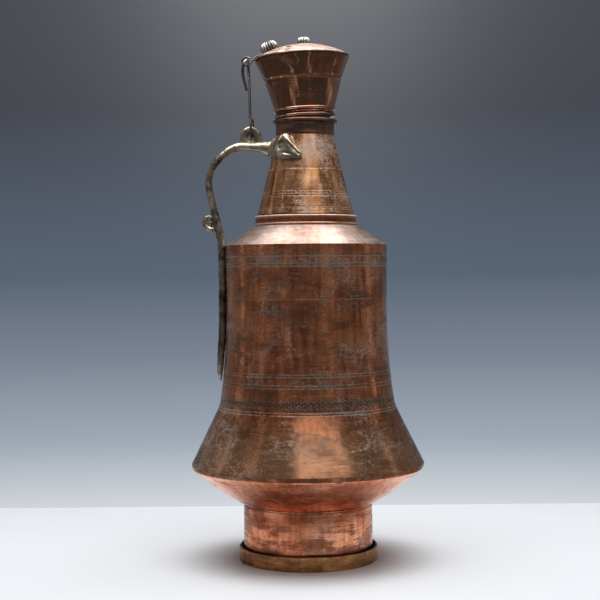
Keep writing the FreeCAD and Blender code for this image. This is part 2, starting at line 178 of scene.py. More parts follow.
def groove(height, centre, half, depth):
    gap = abs(height - centre) / half
    return -depth * (1 - gap * gap) if gap < 1 else 0.0


def dent(angle, height, radius, spot):
    """Round hollow: spot is (degrees from the front, height, size, depth)."""
    turn, centre, size, depth = spot
    across = math.remainder(angle - FRONT - math.radians(turn), math.tau) * radius
    away = (across * across + (height - centre) ** 2) / (size * size)
    return -depth * math.exp(-away) if away < 9 else 0.0


def handwork(angle, height, radius, seed, sway=0.35 * MM, hammer=0.10 * MM):
    """Out-of-round sway and the faint facets that the hammer leaves."""
    slow = ripple(angle, height, radius, 0.11, seed) * sway * 2
    quick = ripple(angle, height, radius, 0.017, seed + 5) * hammer * 2
    return slow + quick


BELL_LINES = [355, 347, 343.5, 306.5, 223, 220, 211, 207.5, 181, 178]
BELL_DENTS = [(24, 0.152, 0.011, 0.7 * MM), (-31, 0.147, 0.013, 0.8 * MM), (8, 0.135, 0.014, 0.6 * MM),
              (55, 0.16, 0.012, 0.8 * MM), (-70, 0.14, 0.016, 0.9 * MM), (120, 0.15, 0.018, 1.0 * MM),
              (-25, 0.285, 0.016, 0.5 * MM), (38, 0.255, 0.014, 0.5 * MM), (170, 0.30, 0.02, 0.9 * MM),
              (-140, 0.24, 0.018, 0.8 * MM)]
ROSETTE_ROW = (0.1845, 0.1945)


def rosettes(angle, height, radius, low, high, count, depth):
    """A row of punched round dots between two heights."""
    if not low < height < high:
        return 0.0
    along = (angle * count / math.tau) % 1.0 - 0.5
    up = (height - low) / (high - low) - 0.5
    pitch = math.tau * radius / count
    away = math.hypot(along * pitch, up * (high - low)) / (0.42 * (high - low))
    return -depth * max(0.0, math.cos(min(away, 1.0) * math.pi * 1.5)) if away < 1 else 0.0


def bell_relief(angle, height):
    move = handwork(angle, height, 0.1, 3.1)
    for line in BELL_LINES:
        move += groove(height, line * MM, 0.6 * MM, 0.13 * MM)
    for spot in BELL_DENTS:
        move += dent(angle, height, 0.11, spot)
    move += rosettes(angle, height, 0.103, *ROSETTE_ROW, 96, 0.8 * MM)
    return move


def build_bell(material):
    low, high = (corner.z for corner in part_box("body_bell"))
    extra = [(line * MM, 0.8 * MM, 2) for line in BELL_LINES]
    extra.append((sum(ROSETTE_ROW) / 2, 4.5 * MM, 6))
    extra.append((low + 5.5 * MM, 1.5 * MM, 2))
    shell("bell", "body_bell", low, high, material, "jug", bell_relief,
          step=2.1 * MM, extra=extra, segments=424)


def pan_relief(angle, height):
    move = handwork(angle, height, 0.1, 7.7, 0.5 * MM, 0.22 * MM)
    return move + ripple(angle, height * 3, 0.1, 0.03, 2.0) * 0.5 * MM


def build_pan(material):
    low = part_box("foot_ring")[1].z
    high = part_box("body_bell")[0].z + 3 * MM
    shell("pan", "lower_pan", low, high, material, "jug", pan_relief,
          step=0.9 * MM, segments=360)


FOOT_SEAM = 65.5 * MM


def foot_relief(angle, height):
    move = handwork(angle, height, 0.075, 11.0, 0.4 * MM, 0.2 * MM)
    return move + groove(height, FOOT_SEAM, 1.3 * MM, 0.5 * MM)


def build_foot(copper, bronze):
    low, high = (corner.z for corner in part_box("foot_ring"))
    shell("foot", "foot_ring", low, high, copper, "jug", foot_relief,
          step=1.2 * MM, segments=320, extra=[(FOOT_SEAM, 1.3 * MM, 3)])
    build_hoop(bronze)
    paint_cad("base_disc", copper)


def build_hoop(bronze):
    """Split hoop whose end laps over its start, with a flange under the foot."""
    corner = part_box("foot_band")[1]
    outer, top = corner.y, corner.z
    inner = outer - 2.5 * MM
    flange = inner - 6.8 * MM
    lip = 0.7 * MM
    outline = [(flange, 0), (outer - lip, 0), (outer, lip), (outer + 0.1 * MM, top * 0.35),
               (outer, top * 0.7), (outer, top - lip), (outer - lip, top), (inner + lip, top),
               (inner, top - lip), (inner, 2 * MM), (flange, 2 * MM)]
    lifted, worn = 10, 9      # so many of the first outline points move
    joint = math.radians(200.8)
    lap = math.radians(3.4)

    def band_relief(angle, height, index):
        past = (angle - joint) / lap
        lift = 1.3 * MM * min(1.0, max(0.0, 1.6 - past)) if index < lifted else 0.0
        wear = ripple(angle, height, outer, 0.012, 4.0) * 0.35 * MM if index < worn else 0.0
        return lift + wear

    hoop = ring("foot_hoop", outline, bronze, "jug", "foot_band", band_relief,
                segments=300, turn=(joint, math.tau + lap))
    for vertex in hoop.data.vertices:
        if vertex.co.z > top * 0.8:
            vertex.co.z += noise.noise(vertex.co * 60) * 0.6 * MM


def shoulder_relief(angle, height):
    return handwork(angle, height, 0.08, 15.0, 0.4 * MM, 0.16 * MM)


def build_shoulder(material):
    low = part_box("body_bell")[1].z
    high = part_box("shoulder_cone")[1].z
    shell("shoulder", "shoulder_cone", low, high, material, "jug",
          shoulder_relief, step=0.6 * MM, segments=320, extra=[(low, 1 * MM, 3)])


def build_collar(material):
    low, high = (corner.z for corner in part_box("neck_base_collar"))
    lip_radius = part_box("neck_base_collar")[1].y
    web = lip_radius - 1.4 * MM
    half_lip = 1.3 * MM
    outer = []
    for row in rows_between(low, high, 0.45 * MM):
        edge = min(row - low, high - row)
        rise = math.sqrt(max(0.0, 1 - ((edge - half_lip) / half_lip) ** 2)) if edge < 2 * half_lip else 0.0
        outer.append((web + (lip_radius - web) * rise, row))
    count = len(outer)
    inner = [(web - WALL, high), (web - WALL, low)]

    def collar_relief(angle, height, index):
        if index >= count:
            return 0.0
        move = ripple(angle, height, lip_radius, 0.02, 9.0) * 0.25 * MM
        return move - rosettes(angle, height, web, low + 2.8 * MM, high - 2.8 * MM, 64, 0.5 * MM)

    ring("neck_collar", outer + inner, material, "jug", "neck_base_collar",
         collar_relief, segments=480)


NECK_LINES = [409, 411, 424, 427, 430, 456]
FLOWER_TURN, FLOWER_HEIGHT, FLOWER_RADIUS = -9.0, 418.5 * MM, 3.4 * MM


def neck_relief(angle, height):
    move = handwork(angle, height, 0.045, 21.0, 0.3 * MM, 0.13 * MM)
    for line in NECK_LINES:
        move += groove(height, line * MM, 0.6 * MM, 0.1 * MM)
    across = math.remainder(angle - FRONT - math.radians(FLOWER_TURN), math.tau) * 0.052
    up = height - FLOWER_HEIGHT
    away = math.hypot(across, up)
    if away < FLOWER_RADIUS:
        petals = 0.5 + 0.5 * math.cos(6 * math.atan2(up, across))
        move -= 0.8 * MM * petals * (1 - away / FLOWER_RADIUS)
    return move


def build_neck(material):
    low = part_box("neck_base_collar")[1].z
    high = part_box("mouth_collar")[0].z + 1 * MM
    extra = [(line * MM, 0.7 * MM, 2) for line in NECK_LINES]
    extra.append((FLOWER_HEIGHT, FLOWER_RADIUS, 6))
    shell("neck", "neck_cone", low, high, material, "jug", neck_relief,
          step=1.4 * MM, segments=440, extra=extra)


def build_mouth(dark):
    band_low, band_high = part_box("mouth_collar")

    def mouth_relief(angle, height, index):
        return ripple(angle, height, band_high.y, 0.012, 30.0) * 0.35 * MM

    lip = 0.5 * MM
    outline = [(band_high.y - lip, band_low.z), (band_high.y, band_low.z + lip)]
    outline += [(band_high.y - 0.3 * MM * math.sin(math.pi * k / 6),
                 band_low.z + lip + (band_high.z - band_low.z - 2 * lip) * k / 6) for k in range(1, 6)]
    bore = band_high.y - 3.2 * MM
    outline += [(band_high.y, band_high.z - lip), (band_high.y - lip, band_high.z),
                (bore, band_high.z), (bore, band_low.z)]
    ring("mouth_band", outline, dark, "jug", "mouth_collar", mouth_relief)
    bead_low, bead_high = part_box("mouth_bead")
    half = (bead_high.z - bead_low.z) / 2
    centre = bead_high.z - half
    bead = [(bead_high.y - half + half * math.cos(a), centre + half * math.sin(a))
            for a in (math.radians(-90 + 15 * k) for k in range(13))]
    bore = bead_high.y - 7 * MM
    bead += [(bore, bead_high.z), (bore, bead_low.z)]
    ring("mouth_roll", bead, dark, "jug", "mouth_bead", mouth_relief)


# ---- lid ----

def lid_facets(angle, height, radius, count, low, high):
    """Flat hammered facets that fade out towards the top of a wall."""
    part = math.tau / count
    inside = (angle % part) - part / 2
    flat = radius * (math.cos(part / 2) / math.cos(inside) - 1)
    fade = 1 - 0.5 * (height - low) / (high - low)
    return flat * fade


# Dents are (degrees from the front, height, size, depth).
PINCH = (-23, 0.584, 0.0065, 3.2 * MM)
LID_DENTS = [PINCH, (-17, 0.580, 0.005, 2.2 * MM), (-11, 0.5755, 0.0042, 1.3 * MM),
             (18, 0.576, 0.006, 0.6 * MM), (33, 0.574, 0.005, 0.5 * MM), (140, 0.575, 0.01, 0.8 * MM)]


def build_lid_ring(material):
    low = RING_EDGE.z
    outer = []
    # Each bead is its height above the ring's foot, its radius and its half thickness.
    for up, radius, half in ((1.9 * MM, RING_RADIUS, 1.9 * MM), (5.4 * MM, RING_RADIUS - 1.6 * MM, 1.1 * MM),
                             (9.6 * MM, RING_RADIUS, 1.9 * MM)):
        for k in range(9):
            a = math.radians(-80 + 20 * k)
            outer.append((radius - half + half * math.cos(a), low + up + half * math.sin(a)))
    count = len(outer)
    bore = 30 * MM

    def ring_relief(angle, height, index):
        return ripple(angle, height, RING_RADIUS, 0.02, 41.0) * 0.3 * MM if index < count else 0.0

    ring("lid_ring", outer + [(bore, RING_TOP), (bore, low)], material, "lid",
         "lid_base_ring", ring_relief, place=LID)


def bulge_at(height, centre, half, rise):
    gap = (height - centre) / half
    return rise * math.exp(-gap * gap)


def lower_relief(angle, height):
    facets = 1.5 * lid_facets(angle, height, 0.04, 22, RING_TOP, RIDGE)
    bead = bulge_at(height, RIDGE, 1.6 * MM, 0.5 * MM)
    return facets + bead + ripple(angle, height, 0.04, 0.03, 44.0) * 0.4 * MM


def upper_relief(angle, height):
    move = ripple(angle, height, 0.05, 0.04, 47.0) * 0.7 * MM
    move += ripple(angle, height, 0.05, 0.011, 49.0) * 0.25 * MM
    move += bulge_at(height, RIDGE + 0.8 * MM, 1.2 * MM, 0.45 * MM)
    for spot in LID_DENTS:
        move += dent(angle, height, 0.052, spot)
    return move


def build_lid(copper, crown, hidden):
    build_lid_ring(copper)
    for name, node, low, high, relief in (
            ("lid_lower", "lid_lower_wall", RING_TOP, RIDGE, lower_relief),
            ("lid_upper", "lid_upper_flare", RIDGE, RIM, upper_relief)):
        shell(name, node, low, high, copper, "lid", relief,
              step=0.8 * MM, place=LID, segments=390)
    build_crown(crown)
    for node in ("lid_sleeve", "lid_roves"):
        paint_cad(node, hidden)


def build_crown(material):
    edge = 55.8 * MM
    middle = 0.4 * MM                # the fan of faces ends just short of the axis
    steps = 46
    top = []
    for k in range(steps + 1):
        radius = edge * (1 - (k / steps) ** 1.15) + middle * (k / steps)
        fall = CROWN_CURVE - math.sqrt(CROWN_CURVE * CROWN_CURVE - radius * radius)
        top.append((radius, CROWN - fall))
    edge_top = top[0][1]
    skirt = [(edge - 0.3 * MM, RIM + 0.1 * MM), (edge, RIM + 0.7 * MM)]
    under = [(middle, CROWN - WALL), (edge * 0.5, CROWN - WALL - 3.6 * MM), (edge - 3 * MM, RIM + 0.1 * MM)]
    dented = len(skirt) + 16         # the pinch reaches this many points in from the edge

    def crown_relief(angle, height, index):
        return 0.0 if index > dented else 0.8 * dent(angle, RIM, 0.052, PINCH)

    points, faces = turned_mesh(skirt + top + under, crown_relief, UPRIGHT, 280)
    shaped = []
    for point in points:
        if point.z > edge_top - 0.1 * MM:
            lift = noise.noise(point / 0.03 + Vector((3, 1, 0))) * 0.5 * MM
            lift += noise.noise(point / 0.009) * 0.12 * MM
            point = point + Vector((0, 0, lift))
        shaped.append(LID @ point)
    new_piece("lid_crown", shaped, faces, material, "lid", ["lid_top"])


def fluted(name, radius, height, place, lobes, material, node):
    """Melon-shaped knob with rounded lobes: the upper part of a squashed globe."""
    rings, around = 40, lobes * 12
    start, turn, squash = 0.40 * math.pi, 0.56 * math.pi, 0.62
    points, faces = [], []
    for i in range(rings + 1):
        rise = start + turn * i / rings
        waist = math.sin(rise) ** squash
        level = height * (math.cos(start) - math.cos(rise)) / (1 + math.cos(start))
        for j in range(around):
            angle = math.tau * j / around
            lobe = abs(math.cos(angle * lobes / 2)) ** 0.7
            depth = 0.24 * min(1.0, waist * 1.2)
            r = radius * waist * (1 - depth * (1 - lobe))
            points.append(place @ Vector((r * math.cos(angle), r * math.sin(angle), level)))
    for i in range(rings):
        for j in range(around):
            a, b = i * around + j, i * around + (j + 1) % around
            faces.append((a, b, b + around, a + around))
    faces.append(tuple(reversed(range(around))))
    faces.append(tuple(range(rings * around, (rings + 1) * around)))
    new_piece(name, points, faces, material, "lid", [node], sharp=60)


def build_lid_fittings(white):
    top = LID @ Matrix.Translation((3 * MM, 0, CROWN - 0.1 * MM))
    fluted("knob_melon", 8.5 * MM, 9.2 * MM, top, 14, white, "lid_knob")
    slope = math.radians(19.0)
    over_strap = 1.2 * MM
    height = CROWN - CROWN_CURVE * (1 - math.cos(slope)) + over_strap
    seat = LID @ Matrix.Translation((-36.5 * MM, 0, height)) @ Matrix.Rotation(-slope, 4, "Y")
    fluted("boss_melon", 10.8 * MM, 11 * MM, seat, 18, white, "lid_boss")


# ---- rods: handle, link and strap ----

def smooth_route(points, per_span):
    """Catmull-Rom route, in metres, through rows in millimetres; every column is interpolated."""
    rows = [points[0]] + list(points) + [points[-1]]
    route = []
    for a, b, c, d in zip(rows, rows[1:], rows[2:], rows[3:]):
        for k in range(per_span):
            t = k / per_span
            route.append(tuple(
                0.5 * (2 * q + (r - p) * t + (2 * p - 5 * q + 4 * r - s) * t * t
                       + (3 * q - p - 3 * r + s) * t ** 3)
                for p, q, r, s in zip(a, b, c, d)))
    route.append(tuple(points[-1]))
    return [tuple(value * MM for value in row) for row in route]


def rod_mesh(route, section, around):
    """Tube along route rows (x, y, z, ...); section(row, angle) gives (side, out)."""
    points, faces = [], []
    places = [Vector(row[:3]) for row in route]
    side = Vector((0, 1, 0))
    for i, place in enumerate(places):
        ahead = places[min(i + 1, len(places) - 1)] - places[max(i - 1, 0)]
        ahead.normalize()
        flat = side - ahead * side.dot(ahead)
        if flat.length > 0.2:
            side = flat.normalized()
        out = side.cross(ahead).normalized()
        for j in range(around):
            s, o = section(route[i], math.tau * j / around)
            points.append(place + side * s + out * o)
    for i in range(len(places) - 1):
        for j in range(around):
            a, b = i * around + j, i * around + (j + 1) % around
            faces.append((a, b, b + around, a + around))
    faces.append(tuple(reversed(range(around))))
    faces.append(tuple(range((len(places) - 1) * around, len(places) * around)))
    return points, faces


# Rods of the handle casting: x, y, z, half thickness, half width; millimetres.
ARM = [(-34, 0, 480.5, 11.5, 10), (-41, 0, 481.6, 9.6, 10), (-48, 0, 483.0, 7.0, 9.6),
       (-62, 0, 484.3, 4.9, 9), (-76, 0, 484.6, 4.6, 8.6), (-88, 0, 481.0, 4.3, 8.2),
       (-99.5, 0, 472, 4.2, 8), (-108.5, 0, 460.5, 4.1, 7.6), (-113.2, 0, 447, 4.1, 7.4),
       (-113.4, 0, 436, 4.1, 7.2), (-110.6, 0, 422, 4.2, 7), (-107.4, 0, 408, 4.4, 7),
       (-104.4, 0, 396, 4.8, 7.2), (-101.4, 0, 383, 4.6, 7), (-99.0, 0, 368, 4.5, 6.8),
       (-98.6, 0, 340, 4.5, 6.6), (-98.6, 0, 300, 4.4, 6.4), (-99.5, 0, 262, 4.4, 6.2),
       (-101.4, 0, 236, 4.2, 6), (-102.3, 0, 222, 3.4, 4.6), (-102.2, 0, 213, 2.0, 2.4),
       (-101.6, 0, 209.5, 0.9, 1.0)]
SCROLL = [(-105.5, 0, 389.5, 3.4, 5), (-110.5, 0, 387.8, 3.0, 5.2), (-116, 0, 390.5, 2.7, 5.4),
          (-119, 0, 396, 2.5, 5.4), (-117, 0, 401.5, 2.3, 5.2), (-111.8, 0, 402.3, 2.1, 5),
          (-109.3, 0, 397.6, 1.9, 4.8), (-112.6, 0, 395.0, 1.7, 4.6)]
SCROLL_CORE = [(-112.0, 0, 390.5, 1.4, 3.6), (-113.4, 0, 395.2, 4.6, 4.4), (-112.4, 0, 400, 1.4, 3.6)]
SPUR = [(-104.6, 0, 404, 4.0, 6.2), (-109, 0, 409.5, 2.8, 4.6), (-112.5, 0, 413.5, 1.2, 2.0)]

# The head, from the arm to the muzzle: part of its length, degrees round the neck from the back,
# low z, high z, bulge; millimetres.
HEAD_FORM = [(0.0, 0, 472.0, 492.5, 6.6), (0.25, 26, 470.0, 493.5, 7.2), (0.5, 44, 467.6, 496.5, 7.6),
             (0.64, 56, 466.8, 497.6, 7.8), (0.74, 64, 466.6, 492.5, 7.0), (0.86, 73, 466.6, 483.5, 6.0),
             (0.95, 80, 466.6, 476.5, 5.0), (1.0, 84, 467.5, 473.5, 2.5)]
HEAD_COLUMNS, HEAD_ROWS = 110, 60


def arm_section(row, angle):
    """Flat inside, ridged outside, with rounded edges."""
    thick, wide = row[3], row[4]
    c, s = math.cos(angle), math.sin(angle)
    across = wide * math.copysign(abs(c) ** 0.75, c)
    out = thick * math.copysign(abs(s) ** (1.0 if s > 0 else 0.55), s)
    return across, out


def head_form(part):
    """Degrees round, low z, high z and bulge at a part of the head's length."""
    for before, after in zip(HEAD_FORM, HEAD_FORM[1:]):
        if part <= after[0]:
            break
    t = (part - before[0]) / (after[0] - before[0])
    t = t * t * (3 - 2 * t)
    return [p + (q - p) * t for p, q in zip(before[1:], after[1:])]


def head_patch(side):
    """Half of the animal-head clasp, laid on the neck: a leaf with a modelled face."""
    neck = node_tree("neck_cone")
    neck_top, neck_top_radius = 500, 33 * MM
    points, faces = [], []
    for i in range(HEAD_COLUMNS + 1):
        part = i / HEAD_COLUMNS
        turn, low, high, bulge = head_form(part)
        for j in range(HEAD_ROWS + 1):
            up = j / HEAD_ROWS
            z = low + (high - low) * up
            radius = cad_radius(neck, UPRIGHT, min(z, neck_top) * MM) or neck_top_radius
            dome = math.sin(math.pi * min(1, max(0, 0.06 + 0.88 * up))) ** 0.45
            height = bulge * dome + face_relief(part, up)
            if i == HEAD_COLUMNS or j in (0, HEAD_ROWS):
                height = 0.2
            angle = math.radians(180 + side * turn)
            r = radius + height * MM
            points.append(Vector((r * math.cos(angle), r * math.sin(angle), z * MM)))
    tall = HEAD_ROWS + 1
    for i in range(HEAD_COLUMNS):
        for j in range(HEAD_ROWS):
            a = i * tall + j
            quad = (a, a + tall, a + tall + 1, a + 1)
            faces.append(quad if side > 0 else quad[::-1])
    return points, faces


def head_solid(side):
    """The leaf closed with an inner skin, so that it can be merged with the arm."""
    outer, faces = head_patch(side)
    inner = [Vector((p.x * 0.86, p.y * 0.86, p.z)) for p in outer]
    count, tall, last = len(outer), HEAD_ROWS + 1, HEAD_COLUMNS
    closed = faces + [tuple(index + count for index in face[::-1]) for face in faces]
    rim = list(range(tall)) + [i * tall + tall - 1 for i in range(1, last + 1)]
    rim += [last * tall + j for j in range(tall - 2, -1, -1)] + [i * tall for i in range(last - 1, 0, -1)]
    for a, b in zip(rim, rim[1:] + rim[:1]):
        closed.append((a, b, b + count, a + count))
    return outer + inner, closed


def face_relief(part, up):
    """Brow, eye, ear crest, nose ridge, nostril and mouth of the head, in millimetres."""
    def mound(p, u, dp, du, rise):
        away = ((part - p) / dp) ** 2 + ((up - u) / du) ** 2
        return rise * math.exp(-away)
    move = mound(0.55, 0.52, 0.085, 0.16, -3.2)          # eye socket
    move += mound(0.55, 0.52, 0.035, 0.075, 2.6)          # eyeball
    move += mound(0.50, 0.74, 0.10, 0.09, 2.0)            # brow
    move += mound(0.60, 0.90, 0.055, 0.15, 3.2)           # ear crest
    move += mound(0.535, 0.93, 0.018, 0.16, -2.0)         # notch behind the ear
    ridge = 1 - 0.9 * (part - 0.7) / 0.3
    if part > 0.62:
        move += 2.6 * math.exp(-((up - 0.84) / 0.10) ** 2) * min(1, (part - 0.62) / 0.1)
    move += mound(0.93, 0.55, 0.022, 0.10, -1.6)          # nostril
    if part > 0.45:
        move += -1.5 * math.exp(-((up - 0.24) / 0.05) ** 2) * min(1, (part - 0.45) / 0.2) * min(1, ridge)
    move += 0.9 * math.sin(part * 95) * math.exp(-((part - 0.22) / 0.13) ** 2)   # mane
    return move


def build_handle(material):
    points, faces = [], []

    def add(more_points, more_faces):
        base = len(points)
        points.extend(more_points)
        faces.extend(tuple(base + index for index in face) for face in more_faces)

    add(*rod_mesh(smooth_route(ARM, 12), arm_section, 28))
    for side in (-1, 1):
        add(*head_solid(side))
    for rod in (SCROLL, SCROLL_CORE, SPUR):
        add(*rod_mesh(smooth_route(rod, 8), arm_section, 20))
    piece = new_piece("handle_arm", points, faces, material, "jug", ["handle", "saddle_rivets"],
                      80)
    remesh = piece.modifiers.new("merge", "REMESH")
    remesh.mode = "VOXEL"
    remesh.voxel_size = 0.7 * MM
    remesh.use_smooth_shade = True
    smooth = piece.modifiers.new("smooth", "SMOOTH")
    smooth.factor = 0.5
    smooth.iterations = 2
    settle(piece)
    roughen(piece)


def settle(piece):
    """Apply the modifiers, so that the mesh itself has the shape."""
    graph = bpy.context.evaluated_depsgraph_get()
    mesh = bpy.data.meshes.new_from_object(piece.evaluated_get(graph))
    piece.modifiers.clear()
    piece.data = mesh
    mesh.shade_smooth()


def roughen(piece):
    """Uneven skin of a sand casting."""
    normals = [vertex.normal.copy() for vertex in piece.data.vertices]
    for vertex, normal in zip(piece.data.vertices, normals):
        swell = noise.noise(vertex.co / 0.007) * 0.45 + noise.noise(vertex.co / 0.0024) * 0.14
        vertex.co = vertex.co + normal * swell * MM


LUG = Vector((-63.5 * MM, 0, 495 * MM))


def lug_edge(angle):
    """Outline of the ear: round above the hole, squared into the arm below it."""
    c, s = math.cos(angle), math.sin(angle)
    if s > 0:
        return LUG + Vector((12.6 * MM * c, 0, 12.8 * MM * s))
    return LUG + Vector((13.4 * MM * math.copysign(abs(c) ** 0.2, c), 0, -10.5 * MM * abs(s) ** 0.45))


def build_lug(material):
    """Pierced ear: a thick rounded plate with a worn hole, tapering to its crown."""
    around, rings = 96, 14
    half = 3 * MM
    points, faces = [], []
    for side in (1, -1):
        for i in range(rings + 1):
            t = i / rings
            for j in range(around):
                angle = math.tau * j / around
                hole = LUG + Vector((3.4 * MM * math.cos(angle), 0, 3.6 * MM * math.sin(angle)))
                spot = hole.lerp(lug_edge(angle), t)
                round_off = math.sin(math.pi * min(1.0, max(0.0, 0.08 + 0.84 * t))) ** 0.4
                spot.y = side * half * round_off
                spot += Vector((0, side * noise.noise(spot / 0.004) * 0.25 * MM, 0))
                points.append(spot)
    layer = (rings + 1) * around
    for side in (0, 1):
        for i in range(rings):
            for j in range(around):
                a = side * layer + i * around + j
                b = side * layer + i * around + (j + 1) % around
                quad = (a, b, b + around, a + around)
                faces.append(quad if side == 0 else quad[::-1])
    for i in (0, rings):
        for j in range(around):
            a, b = i * around + j, i * around + (j + 1) % around
            quad = (a, b, b + layer, a + layer)
            faces.append(quad[::-1] if i == 0 else quad)
    new_piece("lug_ear", points, faces, material, "jug", ["handle_lug"], 70)


# Centreline of the wire, from the top hook's tip to the lower hook's tip; millimetres.
WIRE = [(-67.6, -5.0, 548.6), (-69.4, -5.8, 556), (-72.0, -6.4, 568), (-71.6, -6.4, 579),
        (-68.6, -4.8, 584.6), (-67, 0, 585.2), (-66.4, 4.4, 583.8), (-66.0, 6.2, 577),
        (-65.2, 4.4, 562), (-64.6, 0.6, 545), (-64.2, -3.6, 525), (-63.3, -6.4, 505),
        (-63.5, -6.0, 497.4), (-63.5, -3.6, 494.6), (-63.5, 0, 494.0), (-63.1, 3.6, 494.8),
        (-62.1, 6.2, 499), (-61.3, 7.0, 509), (-61.9, 6.8, 520.5)]


def build_link(material):
    """S-shaped wire: round, slightly worn and drawn out at its two tips."""
    radius, around = 1.6 * MM, 16
    rows = smooth_route(WIRE, 10)

    def wire(row, angle):
        return radius * math.cos(angle), radius * math.sin(angle)

    points, faces = rod_mesh(rows, wire, around)
    for i, row in enumerate(rows):
        from_tip = min(i, len(rows) - 1 - i)
        centre = Vector(row)
        size = min(1.0, 0.35 + from_tip / 7) * (1 + 0.08 * noise.noise(centre / 0.01))
        for j in range(i * around, (i + 1) * around):
            points[j] = centre + (points[j] - centre) * size
    new_piece("link_wire", points, faces, material, "link", ["link"], 70)


def build_strap(material):
    """Flat strip from under the boss, down over the rim and curled into an eye."""
    eye_x, eye_z, curl = -64.9, 585.2, 5.0
    half_wide, half_thick = 3.5 * MM, 1.05 * MM
    route = [(-31, 0, 598.6), (-39, 0, 595.7), (-48, 0, 592.2), (-54, 0, 589.2),
             (-57.5, 0, 586.4), (-60.2, 0, 582.9)]
    for step in range(12):
        angle = math.radians(-35 - 26 * step)
        route.append((eye_x + curl * math.cos(angle), 0, eye_z + curl * math.sin(angle)))

    def strip(row, angle):
        c, s = math.cos(angle), math.sin(angle)
        return half_wide * math.copysign(abs(c) ** 0.35, c), half_thick * math.copysign(abs(s) ** 0.6, s)

    points, faces = rod_mesh(smooth_route(route, 6), strip, 24)
    points = [LID @ point for point in points]
    new_piece("strap_eye", points, faces, material, "lid", ["lid_strap"], 60)


# ---- materials ----

def rgba(colour):
    return (*colour, 1.0)


def set_stops(node, stops):
    marks = node.color_ramp.elements
    while len(marks) < len(stops):
        marks.new(0.5)
    for mark, (place, colour) in zip(marks, stops):
        mark.position = place
        mark.color = rgba(colour)


class Recipe:
    """A node material: add() makes a node and wires sockets or values to its inputs."""

    def __init__(self, name):
        self.material = bpy.data.materials.new(name)
        self.material.use_nodes = True
        self.tree = self.material.node_tree
        self.shader = self.tree.nodes["Principled BSDF"]

    def add(self, kind, inputs=None, **settings):
        item = self.tree.nodes.new("ShaderNode" + kind)
        for key, value in settings.items():
            setattr(item, key, value)
        self.wire(item, inputs or {})
        return item

    def wire(self, item, inputs):
        for key, value in inputs.items():
            if isinstance(value, bpy.types.NodeSocket):
                self.tree.links.new(value, item.inputs[key])
            else:
                item.inputs[key].default_value = value

    def math(self, operation, a, b=0.0, clamp=False):
        return self.add("Math", {0: a, 1: b}, operation=operation, use_clamp=clamp).outputs[0]

    def noise(self, stretch, scale, detail, rough, warp=0.0):
        place = self.add("TexCoord").outputs["Object"]
        place = self.add("Mapping", {"Vector": place, "Scale": stretch}).outputs[0]
        item = self.add("TexNoise", {"Vector": place, "Scale": scale, "Detail": detail,
                                     "Roughness": rough, "Distortion": warp})
        return item.outputs[0]

    def ramp(self, factor, stops):
        item = self.add("ValToRGB", {"Fac": factor})
        set_stops(item, stops)
        return item.outputs[0]

    def window(self, factor, low, high):
        """0 below low, 1 above high."""
        item = self.add("MapRange", {"Value": factor, "From Min": low, "From Max": high})
        return item.outputs[0]

    def blend(self, factor, a, b):
        item = self.add("Mix", data_type="RGBA")
        self.wire(item, {0: factor, 6: a, 7: b})
        return item.outputs[2]

    def height(self):
        place = self.add("TexCoord").outputs["Object"]
        return self.add("SeparateXYZ", {0: place}).outputs[2]

    def scribed(self, height, centre, half, count):
        """A row of scratched rings round the axis."""
        place = self.add("SeparateXYZ", {0: self.add("TexCoord").outputs["Object"]})
        angle = self.math("ARCTAN2", place.outputs[1], place.outputs[0])
        turn = self.math("FRACT", self.math("MULTIPLY", angle, count / math.tau))
        across = self.math("MULTIPLY", self.math("SUBTRACT", turn, 0.5), 2.4)
        up = self.math("DIVIDE", self.math("SUBTRACT", height, centre), half)
        away = self.math("SQRT", self.math("ADD", self.math("MULTIPLY", across, across),
                                           self.math("MULTIPLY", up, up)))
        return self.near(away, 0.85, 0.16)

    def near(self, height, centre, half):
        gap = self.math("ABSOLUTE", self.math("SUBTRACT", height, centre))
        return self.math("SUBTRACT", 1.0, self.math("DIVIDE", gap, half), clamp=True)


